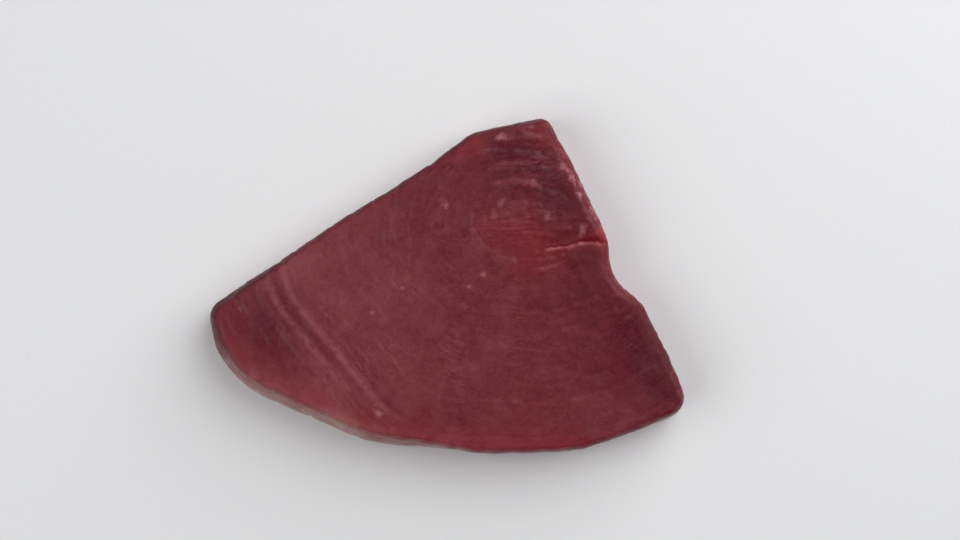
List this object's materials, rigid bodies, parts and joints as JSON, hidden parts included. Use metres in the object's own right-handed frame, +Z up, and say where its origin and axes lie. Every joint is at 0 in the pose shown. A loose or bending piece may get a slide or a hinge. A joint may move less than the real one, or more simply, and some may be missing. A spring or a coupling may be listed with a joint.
{
  "type": "raw tuna steak",
  "caption": "Raw tuna steak: a thick wedge-shaped slice of dark red fish with nested muscle rings round an off-centre eye, a narrow gape in one flank and a flat base.",
  "frame": {"origin": "middle of the bounding box at the flat base, which lies on the surface", "axes": "+X along the slice's length, from the narrow tip towards the heel; +Y across it, towards the crown; +Z up through its thickness"},
  "size_m": [0.1373, 0.0971, 0.0175],
  "materials": {
    "flesh": "moist raw flesh, dark maroon, satin with a soft wet sheen"
  },
  "bodies": {
    "root": {"steak": "flesh"}
  },
  "joints": []
}
